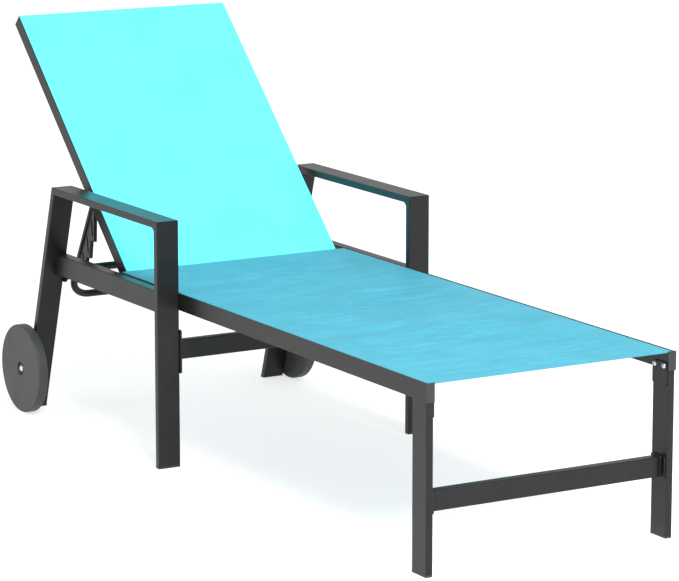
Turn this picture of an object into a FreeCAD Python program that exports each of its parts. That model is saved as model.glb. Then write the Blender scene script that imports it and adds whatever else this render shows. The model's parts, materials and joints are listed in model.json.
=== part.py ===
"""Reclining sun lounger: powder-coated tube frame, two arm frames, a sling seat, and a sling back
that a notched prop holds up.  Millimetres.  +X points to the foot end, +Z is up, and the floor is
Z = 0.  "left" is the +Y side."""
import FreeCAD, Part
import Sketcher
import os
import re

V = FreeCAD.Vector
doc = FreeCAD.newDocument("sun_lounger")

# ---------------------------------------------------------------- driving dimensions
SIZES = {
    # overall layout; distances run back from the foot end of the seat rails
    "foot_x": 890.5,            # X of the foot end of the seat rails
    "arm_half": 328.0,          # half width over the two arm frames
    "arm_front": 970.0,         # front faces of the arm frames
    "armrest_rear": 1465.0,     # upper rear corner of the armrests
    "armrest_top": 521.0,
    "leg_lean": 17.34,          # lean of the rear legs, degrees
    "seat_top": 368.0,
    # flat tube of the arm frames and foot legs
    "tube_wide": 50.0,
    "tube_thin": 15.0,
    "tube_wall": 1.2,
    "edge_round": 1.6,
    "corner_web": 14.0,         # rounded inner corner under the front of the armrest
    # side rails of the arm frames
    "arm_rail_wide": 25.0,
    "arm_rail_high": 46.0,
    "arm_rail_drop": 2.0,       # its top lies this far under the seat rails' lips
    # seat rails: an outer lip stands up beside a ledge that has the sling groove
    "seat_rail_wide": 15.0,
    "seat_rail_high": 36.0,
    "lip_wide": 3.0,
    "lip_high": 3.0,
    "rail_round": 0.6,
    "seat_rail_rear": 1240.0,
    "groove_radius": 3.0,
    "groove_slot": 2.4,
    "groove_depth": 5.3,
    "spline_radius": 2.6,
    "sling_thick": 1.4,
    "play": 0.3,                # gap between a sling or washer and what it lies on
    # crossbars and their end plates
    "bar_high": 40.0,
    "bar_wide": 20.0,
    "foot_bar_top": 160.0,
    "mid_bar_top": 269.0,
    "end_plate": 4.0,
    "foot_plate_wide": 44.0,
    "mid_plate_wide": 23.0,
    "mid_plate_high": 91.0,
    "mid_plate_top": 290.0,
    "seat_bar_size": 18.0,      # square bars that keep the seat rails apart under the sling
    "seat_bar_drop": 14.0,
    "seat_bar_mid": 620.0,
    "seat_bar_rear": 1176.0,
    # foot brackets
    "bracket_thick": 3.0,
    "bracket_wide": 46.0,
    "bracket_rise": 14.0,
    "bracket_drop": 32.0,
    "glide_thick": 4.0,
    "plug_depth": 12.0,
    "plug_gap": 0.15,
    "rear_clear": 0.4,          # height of the rear leg plugs over the floor
    # bolts and where they sit
    "bolt_radius": 3.0,
    "bolt_head": 5.5,
    "bolt_head_high": 3.4,
    "bolt_clear": 0.15,
    "pin_radius": 4.0,
    "pin_head": 7.5,
    "pin_head_high": 4.0,
    "pin_clear": 0.06,
    "pin_reach": 14.0,          # length of a pin inside the tube it holds to
    "rail_bolt_in": 35.0,       # first side rail bolt, behind the front leg
    "rail_bolt_end": 30.0,      # second one, before the seat rail's rear end
    "rail_bolt_up": 10.0,
    "foot_bolt_front": 10.0,
    "foot_bolt_rear": 40.0,
    "foot_bolt_up": 7.0,
    "plate_bolt_top": 9.0,
    "plate_bolt_low": 12.0,
    "bolt_reach": 12.0,         # length of a bolt behind the plates it holds
    # wheels
    "wheel_radius": 98.0,
    "wheel_thick": 22.0,
    "wheel_gap": 2.0,
    "wheel_recess": 15.0,
    "wheel_dish": 5.0,
    "axle_radius": 4.0,
    "axle_head": 7.5,
    "nut_wide": 12.0,
    "nut_high": 6.0,
    "bush_radius": 8.0,
    "fit_gap": 0.06,
    # back frame; its hinge axis is hinge_back behind the foot end
    "hinge_back": 1257.0,
    "recline": 43.8,            # degrees above flat
    "back_length": 715.0,       # hinge axis to the top of the back
    "back_half": 259.0,
    "back_wide": 22.0,
    "back_deep": 30.0,
    "back_bar_size": 20.0,
    "back_bar_place": 52.0,
    "back_sling_drop": 9.0,     # how far the back sling runs down past the hinge axis
    # prop: a bent tube with a notched rack on each leg
    "prop_pivot": 253.0,        # hinge axis to prop pivot
    "prop_tilt": 29.0,          # degrees, back from straight down
    "prop_half": 224.0,
    "prop_radius": 8.0,
    "prop_wall": 1.5,
    "prop_length": 318.0,
    "prop_bend": 45.0,
    "prop_head": 11.0,
    "rack_thick": 8.0,
    "rack_start": 62.0,
    "rack_pitch": 46.0,
    "rack_low_notch": 184.0,
    "rack_inner": 30.5,
    "rack_tip": 44.5,
    "rack_undercut": 6.0,
    "rack_relief": 1.6,
    "rack_relief_wide": 7.0,
    "rack_relief_in": 12.0,
    "rack_relief_up": 44.0,
    "rack_relief_run": 30.0,
    "rack_relief_out": 22.0,
    "rack_corner": 2.0,
    "rack_foot_in": 8.0,
    "rack_foot_down": 24.0,
    # catch bar that the notches hook over; the flat back rests on it
    "catch_back": 1495.0,
    "catch_radius": 8.5,
    "catch_wall": 1.5,
    "flat_gap": 0.4,
    "catch_plate_back": 42.0,
    "catch_plate_front": 16.0,
    "catch_plate_toe": 14.0,
    "catch_plate_low": 30.0,
    "catch_plate_knee": 9.0,
    "catch_plate_high": 24.0,
}
sheet = doc.addObject("Spreadsheet::Sheet", "Dims")
for row, (alias, value) in enumerate(SIZES.items(), start=1):
    sheet.set(f"A{row}", alias)
    sheet.set(f"B{row}", str(value))
    sheet.setAlias(f"B{row}", alias)
doc.recompute()

# Heights and places that several pieces share, in terms of the driving dimensions.
SHARED = {
    "ledge": "(seat_top - lip_high)",
    "arm_rail_top": "(seat_top - arm_rail_drop)",
    "seat_bottom": "(seat_top - seat_rail_high)",
    "arm_inner": "(arm_half - tube_wide)",
    "rail_inner": "(arm_half - tube_wide - seat_rail_wide)",
    "hinge_x": "(foot_x - hinge_back)",
    "hinge_z": "(seat_top - back_deep / 2)",
    "catch_x": "(foot_x - catch_back)",
    "catch_z": "(seat_top - back_deep - flat_gap - catch_radius)",
    "prop_x": "(foot_x - hinge_back - prop_pivot * cos(recline))",
    "prop_z": "(seat_top - back_deep / 2 + prop_pivot * sin(recline))",
    "lean_wide": "(tube_thin / cos(leg_lean))",
    "wheel_x": "(foot_x - armrest_rear - (armrest_top - wheel_radius) * tan(leg_lean)"
               " + tube_thin / cos(leg_lean) / 2)",
    "wheel_inner": "(arm_half + wheel_gap)",
    "rail_bolt_z": "(seat_top - seat_rail_high + rail_bolt_up)",
    "foot_bolt_z": "(seat_top - seat_rail_high + foot_bolt_up)",
}
# distances of the bolts behind the foot end, and heights of those in the crossbar's plates
RAIL_BOLTS = ("arm_front + tube_thin + rail_bolt_in", "seat_rail_rear - rail_bolt_end")
FOOT_BOLTS = ("foot_bolt_front", "foot_bolt_rear")
PLATE_BOLTS = ("mid_plate_top - plate_bolt_top", "mid_plate_top - mid_plate_high + plate_bolt_low")

ALIASES = re.compile(r"\b(" + "|".join(sorted(SIZES, key=len, reverse=True)) + r")\b")
NAMED = re.compile(r"\b(" + "|".join(sorted(SHARED, key=len, reverse=True)) + r")\b")


def bound(text):
    """An expression on the sheet: shared names are written out, then each alias gets its prefix."""
    text = NAMED.sub(lambda found: SHARED[found.group(1)], str(text))
    return ALIASES.sub(lambda found: "Dims." + found.group(1), text)


# ---------------------------------------------------------------- modelling helpers
def place(item, at=(0, 0, 0), turn=None, axis=V(0, 1, 0)):
    """Bind an object's position, and its turn about one axis, to the sheet."""
    item.Placement = FreeCAD.Placement(V(), FreeCAD.Rotation(axis, 1.0 if turn else 0.0))
    for letter, value in zip("xyz", at):
        item.setExpression(f".Placement.Base.{letter}", bound(value))
    if turn:
        item.setExpression(".Placement.Rotation.Angle", bound(turn))
    return item


def outline(body, plane, points, name):
    """A closed sketch on one of the body's origin planes, each corner bound to the sheet."""
    sketch = body.newObject("Sketcher::SketchObject", name)
    origin = [f for f in body.Origin.OriginFeatures if f.Role == plane + "_Plane"][0]
    sketch.AttachmentSupport = [(origin, "")]
    sketch.MapMode = "FlatFace"
    count = len(points)
    turns = [FreeCAD.Rotation(V(0, 0, 1), 360.0 * i / count).multVec(V(100, 0, 0)) for i in range(count)]
    for i in range(count):
        sketch.addGeometry(Part.LineSegment(turns[i], turns[(i + 1) % count]), False)
    for i in range(count):
        sketch.addConstraint(Sketcher.Constraint("Coincident", i, 2, (i + 1) % count, 1))
    for i, corner in enumerate(points):
        bounds = (("DistanceX", turns[i].x, corner[0]), ("DistanceY", turns[i].y, corner[1]))
        for kind, start, value in bounds:
            number = sketch.addConstraint(Sketcher.Constraint(kind, -1, 1, i, 1, start))
            sketch.setExpression(f"Constraints[{number}]", bound(value))
    return sketch


def edges_along(shape, direction, longest=0):
    """Names of the straight edges that run along a direction, or of the longest ones."""
    names = []
    for i, edge in enumerate(shape.Edges, start=1):
        ends = [vertex.Point for vertex in edge.Vertexes]
        if len(ends) == 2 and isinstance(edge.Curve, Part.Line):
            run = ends[1].sub(ends[0])
            if direction is None or run.normalize().cross(direction).Length < 1e-6:
                names.append((edge.Length, f"Edge{i}"))
    names.sort(reverse=True)
    return [name for _, name in (names[:longest] if longest else names)]


PAD_WAY = {"XY": V(0, 0, 1), "XZ": V(0, -1, 0), "YZ": V(1, 0, 0)}


def prism(name, plane, points, length, rounding=None, radius="edge_round", hollow=None):
    """Pad an outline.  It grows along +Z, -Y or +X from the XY, XZ or YZ plane.  rounding is
    "along" for the edges of the pad's own direction, "across" for those along Y, or "long" for the
    four longest edges."""
    body = doc.addObject("PartDesign::Body", name)
    pad = body.newObject("PartDesign::Pad", name + "_pad")
    pad.Profile = outline(body, plane, points, name + "_outline")
    pad.setExpression("Length", bound(length))
    body.Tip = pad
    doc.recompute()
    if rounding:
        if rounding == "long":
            chosen = edges_along(pad.Shape, None, longest=4)
        else:
            chosen = edges_along(pad.Shape, PAD_WAY[plane] if rounding == "along" else V(0, 1, 0))
        fillet = body.newObject("PartDesign::Fillet", name + "_rounds")
        fillet.Base = (pad, chosen)
        fillet.setExpression("Radius", bound(radius))
        body.Tip = fillet
        doc.recompute()
    for i, hole in enumerate(hollow or []):
        pocket = body.newObject("PartDesign::Pocket", f"{name}_hollow{i}")
        pocket.Profile = outline(body, plane, hole, f"{name}_inner{i}")
        pocket.Type = "ThroughAll"
        pocket.Reversed = True
        before = body.Shape.Volume
        body.Tip = pocket
        doc.recompute()
        if body.Shape.Volume > before - 1.0:
            pocket.Reversed = False
            doc.recompute()
    return body


def turned(name, points):
    """Revolve an outline of (radius, place along Y) corners about the Y axis."""
    body = doc.addObject("PartDesign::Body", name)
    sketch = outline(body, "XY", points, name + "_profile")
    spin = body.newObject("PartDesign::Revolution", name + "_turn")
    spin.Profile = sketch
    spin.ReferenceAxis = (sketch, ["V_Axis"])
    spin.Angle = 360.0
    body.Tip = spin
    doc.recompute()
    return body


def rod(name, radius, length, at, axis, turn="90"):
    """A round rod of one diameter, laid along an axis by turning it from +Z."""
    item = doc.addObject("Part::Cylinder", name)
    item.setExpression("Radius", bound(radius))
    item.setExpression("Height", bound(length))
    return place(item, at, turn, axis)


def block(name, size, at):
    """A plain block from its lowest corner."""
    item = doc.addObject("Part::Box", name)
    for side, value in zip(("Length", "Width", "Height"), size):
        item.setExpression(side, bound(value))
    return place(item, at)


def less(name, base, tools):
    """The base with the tools cut away."""
    tool = tools[0]
    if len(tools) > 1:
        tool = joined(name + "_tools", tools)
    item = doc.addObject("Part::Cut", name)
    item.Base = base
    item.Tool = tool
    return item


def joined(name, items):
    """One solid from pieces that share faces or overlap."""
    item = doc.addObject("Part::MultiFuse", name)
    item.Shapes = items
    item.Refine = True
    return item


NODES = []


def node(label, item):
    """Give a finished piece the name that its file takes."""
    item.Label = label
    NODES.append(item)
    return item


def group(label, items):
    """Identical small pieces share one node as separate solids."""
    item = doc.addObject("Part::Compound", label)
    item.Links = items
    return node(label, item)


def box_outline(low_x, high_x, low_y, high_y):
    """The four corners of an upright rectangle."""
    return [(low_x, low_y), (high_x, low_y), (high_x, high_y), (low_x, high_y)]


SIDES = (("left", 1), ("right", -1))
ALONG_Y = V(1, 0, 0)        # turning +Z by -90 degrees about X lays a rod along +Y


def span(side, low, high):
    """Lower and upper Y of a piece that lies between two distances from the middle."""
    return (low, high) if side > 0 else (f"-({high})", f"-({low})")


def cross_rod(name, radius, side, low, high, x, z):
    """A rod across the frame, between two distances from the middle on one side."""
    start = span(side, low, high)[0]
    return rod(name, radius, f"({high}) - ({low})", (x, start, z), ALONG_Y, "-90")


def screw(name, head, head_high, shank, reach, side, seat, x, z, outward=True):
    """A button-head screw across the frame.  Its head sits on the plane `seat`, on the side away
    from where the shank goes, and its socket is a shallow round recess."""
    profile = [
        ("0", reach), (f"{shank} - 0.5", reach), (shank, f"({reach}) - 0.5"), (shank, "0"), (head, "0"),
        (head, f"-({head_high}) * 0.35"), (f"({head}) * 0.78", f"-({head_high}) * 0.85"),
        (f"({head}) * 0.55", f"-({head_high})"), (f"({head}) * 0.4", f"-({head_high})"),
        (f"({head}) * 0.4", f"-({head_high}) * 0.45"), ("0", f"-({head_high}) * 0.45"),
    ]
    body = turned(name, profile)
    away = side if outward else -side
    y = seat if side > 0 else f"-({seat})"
    place(body, (x, y, z), "180" if away < 0 else None, V(0, 0, 1))
    return body


# ---------------------------------------------------------------- arm frames
# Each arm frame is flat tube, 50 mm face across: an armrest, a plumb front leg and a leaning rear
# leg with mitred corners, and a side rail set in flush with the inner faces.
ARM_FRONT = "(foot_x - arm_front)"
ARM_REAR = "(foot_x - armrest_rear)"
MITRE_REAR = "(tube_thin * tan((90 - leg_lean) / 2))"


def lean_x(z, inner="0"):
    """X of the rear leg's back face at a height, or of a line inside the leg that far from it."""
    return f"({ARM_REAR} - (armrest_top - ({z})) * tan(leg_lean) + ({inner}) / cos(leg_lean))"


for side_name, side in SIDES:
    y_low, y_high = span(side, "arm_inner", "arm_half")
    hollow_low, hollow_high = span(side, "arm_inner + tube_wall", "arm_half - tube_wall")

    def flat_tube(name, points, inner):
        """A mitred flat tube from its side outline and the outline of its hollow."""
        skin = place(prism(name + "_skin", "XZ", points, "tube_wide", "long"), (0, y_high, 0))
        core = prism(name + "_core", "XZ", inner, "tube_wide - 2 * tube_wall")
        place(core, (0, hollow_high, 0))
        return skin, core

    under = "(armrest_top - tube_thin)"
    rear_inner = lean_x(under, "tube_thin")
    skin, core = flat_tube(
        f"armrest_{side_name}_part",
        [(ARM_REAR, "armrest_top"), (ARM_FRONT, "armrest_top"), (f"{ARM_FRONT} - tube_thin", under),
         (rear_inner, under)],
        [(f"{ARM_REAR} + tube_wall", "armrest_top - tube_wall"),
         (f"{ARM_FRONT} - tube_wall", "armrest_top - tube_wall"),
         (f"{ARM_FRONT} - tube_thin + tube_wall", f"{under} + tube_wall"),
         (f"{rear_inner} - tube_wall", f"{under} + tube_wall")])
    node(f"armrest_{side_name}", less(f"armrest_{side_name}", skin, [core]))

    foot = "glide_thick"
    skin, core = flat_tube(
        f"front_leg_{side_name}_part",
        [(f"{ARM_FRONT} - tube_thin", foot), (ARM_FRONT, foot), (ARM_FRONT, "armrest_top"),
         (f"{ARM_FRONT} - tube_thin", under)],
        [(f"{ARM_FRONT} - tube_thin + tube_wall", "glide_thick - 1"),
         (f"{ARM_FRONT} - tube_wall", "glide_thick - 1"),
         (f"{ARM_FRONT} - tube_wall", "armrest_top - 2 * tube_wall"),
         (f"{ARM_FRONT} - tube_thin + tube_wall", f"{under} - tube_wall")])
    web = block(f"web_{side_name}", ("corner_web", "tube_wide - 2 * edge_round", "corner_web"),
                (f"{ARM_FRONT} - tube_thin - corner_web", f"{y_low} + edge_round", f"{under} - corner_web"))
    web_round = rod(f"web_round_{side_name}", "corner_web", "tube_wide",
                    (f"{ARM_FRONT} - tube_thin - corner_web", y_low, f"{under} - corner_web"), ALONG_Y, "-90")
    corner = less(f"corner_{side_name}", web, [web_round])
    screws = [cross_rod(f"mid_hole_{side_name}{i}", "bolt_radius + bolt_clear", side, "arm_inner - 1",
                        "arm_inner + tube_wall + 1", f"{ARM_FRONT} - tube_thin / 2", z)
              for i, z in enumerate(PLATE_BOLTS)]
    leg_tube = less(f"front_leg_tube_{side_name}", skin, [core] + screws)
    node(f"arm_front_leg_{side_name}", joined(f"arm_front_leg_{side_name}", [leg_tube, corner]))

    end = "(rear_clear + glide_thick)"
    skin, core = flat_tube(
        f"rear_leg_{side_name}_part",
        [(lean_x(end), end), (lean_x(end, "tube_thin"), end), (rear_inner, under), (ARM_REAR, "armrest_top")],
        [(lean_x(f"{end} - 1", "tube_wall"), f"{end} - 1"),
         (lean_x(f"{end} - 1", "tube_thin - tube_wall"), f"{end} - 1"),
         (lean_x(f"{under} - tube_wall", "tube_thin - tube_wall"), f"{under} - tube_wall"),
         (lean_x("armrest_top - 2 * tube_wall", "tube_wall"), "armrest_top - 2 * tube_wall")])
    axle_hole = cross_rod(f"axle_hole_{side_name}", "axle_radius + bolt_clear", side,
                          "arm_half - tube_wall - 1", "arm_half + 1", "wheel_x", "wheel_radius")
    node(f"arm_rear_leg_{side_name}", less(f"arm_rear_leg_{side_name}", skin, [core, axle_hole]))

    # side rail between the two legs, its rear end cut to the leg's lean
    rail_low = "(arm_rail_top - arm_rail_high)"
    rail_front = f"({ARM_FRONT} - tube_thin)"
    rail_span = span(side, "arm_inner", "arm_inner + arm_rail_wide")
    skin = prism(f"side_rail_{side_name}_skin", "XZ",
                 [(lean_x(rail_low, "tube_thin"), rail_low), (rail_front, rail_low),
                  (rail_front, "arm_rail_top"), (lean_x("arm_rail_top", "tube_thin"), "arm_rail_top")],
                 "arm_rail_wide", "long")
    place(skin, (0, rail_span[1], 0))
    core_low = f"({rail_low} + tube_wall)"
    core_top = "(arm_rail_top - tube_wall)"
    core = prism(f"side_rail_{side_name}_core", "XZ",
                 [(f"{lean_x(core_low, 'tube_thin')} - 5", core_low), (f"{rail_front} + 1", core_low),
                  (f"{rail_front} + 1", core_top), (f"{lean_x(core_top, 'tube_thin')} - 5", core_top)],
                 "arm_rail_wide - 2 * tube_wall")
    place(core, (0, span(side, "arm_inner + tube_wall", "arm_inner + arm_rail_wide - tube_wall")[1], 0))
    holes = [cross_rod(f"rail_hole_{side_name}{i}", "bolt_radius + bolt_clear", side, "arm_inner - 1",
                       "arm_inner + tube_wall + 1", f"foot_x - ({back})", "rail_bolt_z")
             for i, back in enumerate(RAIL_BOLTS)]
    pin_hole = cross_rod(f"rail_pin_hole_{side_name}", "pin_radius + bolt_clear", side, "arm_inner - 1",
                         "arm_inner + tube_wall + 1", "hinge_x", "hinge_z")
    node(f"arm_side_rail_{side_name}", less(f"arm_side_rail_{side_name}", skin, [core, pin_hole] + holes))

# ---------------------------------------------------------------- seat frame
# Two extruded rails with an outer lip, a ledge and a sling groove, bars under the sling, and
# plastic caps on the foot ends.
for side_name, side in SIDES:
    def across(value):
        """Y of a distance from the middle, on this side."""
        return value if side > 0 else f"-({value})"

    inner, outer = "rail_inner", "arm_inner"
    lip = "(arm_inner - lip_wide)"
    groove = "(arm_inner - lip_wide - groove_radius)"
    groove_z = "(ledge - groove_depth)"
    section = [(across(inner), "seat_bottom"), (across(outer), "seat_bottom"), (across(outer), "seat_top"),
               (across(lip), "seat_top"), (across(lip), "ledge"), (across(inner), "ledge")]
    duct_top = f"({groove_z} - groove_radius - tube_wall)"
    duct = [(across(f"{inner} + tube_wall"), "seat_bottom + tube_wall"),
            (across(f"{outer} - tube_wall"), "seat_bottom + tube_wall"),
            (across(f"{outer} - tube_wall"), duct_top), (across(f"{inner} + tube_wall"), duct_top)]
    slot_in = across(f"{groove} - groove_slot / 2")
    slot_out = across(f"{groove} + groove_slot / 2")
    slot = [(slot_in, groove_z), (slot_out, groove_z), (slot_out, "ledge + 1"), (slot_in, "ledge + 1")]
    profile = prism(f"seat_rail_{side_name}_profile", "YZ", section, "seat_rail_rear", "along", "rail_round",
                    [duct, slot])
    place(profile, ("foot_x - seat_rail_rear", 0, 0))
    groove_rod = rod(f"groove_{side_name}", "groove_radius", "seat_rail_rear + 2",
                     ("foot_x - seat_rail_rear - 1", across(groove), groove_z), V(0, 1, 0))
    rail_cuts = [groove_rod]
    for i, back in enumerate(RAIL_BOLTS):
        rail_cuts.append(cross_rod(f"seat_hole_{side_name}{i}", "bolt_radius + bolt_clear", side,
                                   f"{inner} - 1",
                                   f"{outer} + 1", f"foot_x - ({back})", "rail_bolt_z"))
    for i, back in enumerate(FOOT_BOLTS):
        rail_cuts.append(cross_rod(f"foot_hole_{side_name}{i}", "bolt_radius + bolt_clear", side,
                                   f"{inner} - 1",
                                   f"{inner} + tube_wall + 1", f"foot_x - ({back})", "foot_bolt_z"))
    node(f"seat_rail_{side_name}", less(f"seat_rail_{side_name}", profile, rail_cuts))
    spline = rod(f"sling_spline_{side_name}", "spline_radius", "seat_rail_rear - 12",
                 ("foot_x - seat_rail_rear + 6", across(groove), groove_z), V(0, 1, 0))
    node(f"sling_spline_{side_name}", spline)
    # end cap: a plate a little larger than the rail, with a plug in the rail's duct
    cap = prism(f"cap_{side_name}_face", "YZ",
                [(across(f"{inner} - 1.2"), "seat_bottom - 1"), (across(f"{outer} + 1.2"), "seat_bottom - 1"),
                 (across(f"{outer} + 1.2"), "seat_top + 0.6"), (across(f"{inner} - 1.2"), "seat_top + 0.6")],
                "2.5", "along", "1.0")
    place(cap, ("foot_x", 0, 0))
    plug = prism(f"cap_{side_name}_plug", "YZ",
                 [(across(f"{inner} + tube_wall + plug_gap"), "seat_bottom + tube_wall + plug_gap"),
                  (across(f"{outer} - tube_wall - plug_gap"), "seat_bottom + tube_wall + plug_gap"),
                  (across(f"{outer} - tube_wall - plug_gap"), f"{duct_top} - plug_gap"),
                  (across(f"{inner} + tube_wall + plug_gap"), f"{duct_top} - plug_gap")], "6")
    place(plug, ("foot_x - 6", 0, 0))
    node(f"seat_rail_cap_{side_name}", joined(f"seat_rail_cap_{side_name}", [cap, plug]))


def square_bar(label, half_span, x_low, x_high, z_low, z_high):
    """A straight rectangular tube across the frame."""
    item = prism(label + "_tube", "XZ", box_outline(x_low, x_high, z_low, z_high), f"2 * ({half_span})",
                 "along", "edge_round", [box_outline(f"{x_low} + tube_wall", f"{x_high} - tube_wall",
                                            f"{z_low} + tube_wall", f"{z_high} - tube_wall")])
    return node(label, place(item, (0, half_span, 0)))


for label, back in (("seat_mid_bar", "seat_bar_mid"), ("seat_rear_bar", "seat_bar_rear")):
    square_bar(label, "rail_inner", f"foot_x - {back} - seat_bar_size", f"foot_x - {back}",
               "ledge - seat_bar_drop - seat_bar_size + 8", "ledge - seat_bar_drop + 8")

# ---------------------------------------------------------------- foot legs
# Flat tube with the 50 mm face outward, bracket plates on the inner faces, and a crossbar.
LEG_REAR = "(foot_x - tube_wide)"
for side_name, side in SIDES:
    y_low, y_high = span(side, "rail_inner", "arm_inner")
    tube = prism(f"foot_leg_{side_name}_tube", "XY", box_outline(LEG_REAR, "foot_x", y_low, y_high),
                 "seat_bottom - glide_thick", "along", "edge_round",
                 [box_outline(f"{LEG_REAR} + tube_wall", "foot_x - tube_wall", f"{y_low} + tube_wall",
                              f"{y_high} - tube_wall")])
    node(f"foot_leg_{side_name}", place(tube, (0, 0, "glide_thick")))

    bracket = prism(f"foot_bracket_{side_name}_plate", "XZ",
                    box_outline("foot_x - bracket_wide - 2", "foot_x - 2", "seat_bottom - bracket_drop",
                                "seat_bottom + bracket_rise"), "bracket_thick", "along", "6")
    place(bracket, (0, span(side, "rail_inner - bracket_thick", "rail_inner")[1], 0))
    holes = [cross_rod(f"bracket_hole_{side_name}{i}", "bolt_radius + bolt_clear", side,
                       "rail_inner - bracket_thick - 1", "rail_inner + 1", f"foot_x - ({back})", "foot_bolt_z")
             for i, back in enumerate(FOOT_BOLTS)]
    node(f"foot_bracket_{side_name}", less(f"foot_bracket_{side_name}", bracket, holes))

    # plastic glides close the leg ends
    for label, x_low, x_high, gy_low, gy_high in (
            ("foot_glide", LEG_REAR, "foot_x", "rail_inner", "arm_inner"),
            ("arm_glide", f"({ARM_FRONT} - tube_thin)", ARM_FRONT, "arm_inner", "arm_half")):
        g_low, g_high = span(side, gy_low, gy_high)
        sole = prism(f"{label}_{side_name}_sole", "XY", box_outline(x_low, x_high, g_low, g_high),
                     "glide_thick", "along", "edge_round")
        inset = "(tube_wall + plug_gap)"
        plug = block(f"{label}_{side_name}_plug",
                     (f"({x_high}) - ({x_low}) - 2 * {inset}", f"({g_high}) - ({g_low}) - 2 * {inset}",
                      "plug_depth"),
                     (f"{x_low} + {inset}", f"{g_low} + {inset}", "glide_thick"))
        node(f"{label}_{side_name}", joined(f"{label}_{side_name}", [sole, plug]))

    # plug in the lower end of the leaning rear leg
    end = "(rear_clear + glide_thick)"
    g_low, g_high = span(side, "arm_inner", "arm_half")
    sole = prism(f"rear_plug_{side_name}_sole", "XZ",
                 [(lean_x("rear_clear"), "rear_clear"), (lean_x("rear_clear", "tube_thin"), "rear_clear"),
                  (lean_x(end, "tube_thin"), end), (lean_x(end), end)], "tube_wide", "long", "1.0")
    place(sole, (0, g_high, 0))
    inset = "(tube_wall + plug_gap)"
    top = f"({end} + plug_depth)"
    plug = prism(f"rear_plug_{side_name}_plug", "XZ",
                 [(lean_x(end, inset), end), (lean_x(end, f"tube_thin - {inset}"), end),
                  (lean_x(top, f"tube_thin - {inset}"), top), (lean_x(top, inset), top)],
                 f"tube_wide - 2 * {inset}")
    place(plug, (0, f"{g_high} - {inset}", 0))
    node(f"rear_leg_plug_{side_name}", joined(f"rear_leg_plug_{side_name}", [sole, plug]))

# crossbars with welded end plates
BAR_MID = "(foot_x - tube_wide / 2)"
square_bar("foot_crossbar", "rail_inner - end_plate", f"{BAR_MID} - bar_wide / 2",
           f"{BAR_MID} + bar_wide / 2",
           "foot_bar_top - bar_high", "foot_bar_top")
ARM_MID = f"({ARM_FRONT} - tube_thin / 2)"
square_bar("mid_crossbar", "arm_inner - end_plate", f"{ARM_MID} - bar_wide / 2", f"{ARM_MID} + bar_wide / 2",
           "mid_bar_top - bar_high", "mid_bar_top")
for side_name, side in SIDES:
    plate = prism(f"foot_plate_{side_name}_blank", "XZ",
                  box_outline(f"{BAR_MID} - foot_plate_wide / 2", f"{BAR_MID} + foot_plate_wide / 2",
                              "foot_bar_top - bar_high - 2", "foot_bar_top + 2"), "end_plate", "along", "3")
    node(f"foot_crossbar_plate_{side_name}",
         place(plate, (0, span(side, "rail_inner - end_plate", "rail_inner")[1], 0)))
    plate = prism(f"mid_plate_{side_name}_blank", "XZ",
                  box_outline(f"{ARM_MID} - mid_plate_wide / 2", f"{ARM_MID} + mid_plate_wide / 2",
                              "mid_plate_top - mid_plate_high", "mid_plate_top"), "end_plate", "along", "3")
    place(plate, (0, span(side, "arm_inner - end_plate", "arm_inner")[1], 0))
    holes = [cross_rod(f"mid_plate_hole_{side_name}{i}", "bolt_radius + bolt_clear", side,
                       "arm_inner - end_plate - 1", "arm_inner + 1", ARM_MID, z)
             for i, z in enumerate(PLATE_BOLTS)]
    node(f"mid_crossbar_plate_{side_name}", less(f"mid_crossbar_plate_{side_name}", plate, holes))

# ---------------------------------------------------------------- catch bar
catch = turned("catch_tube", box_outline("catch_radius - catch_wall", "catch_radius",
                                         "-(arm_inner - end_plate)",
                                         "arm_inner - end_plate"))
node("catch_bar", place(catch, ("catch_x", 0, "catch_z")))
for side_name, side in SIDES:
    plate = prism(f"catch_plate_{side_name}_blank", "XZ",
                  [("catch_x - catch_plate_back", "catch_z - catch_plate_low"),
                   ("catch_x - catch_plate_toe", "catch_z - catch_plate_low"),
                   ("catch_x + catch_plate_front", "catch_z - catch_plate_knee"),
                   ("catch_x + catch_plate_front", "catch_z + catch_plate_high"),
                   ("catch_x - catch_plate_back", "catch_z + catch_plate_high")],
                  "end_plate", "along", "3")
    node(f"catch_bar_plate_{side_name}",
         place(plate, (0, span(side, "arm_inner - end_plate", "arm_inner")[1], 0)))

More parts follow.
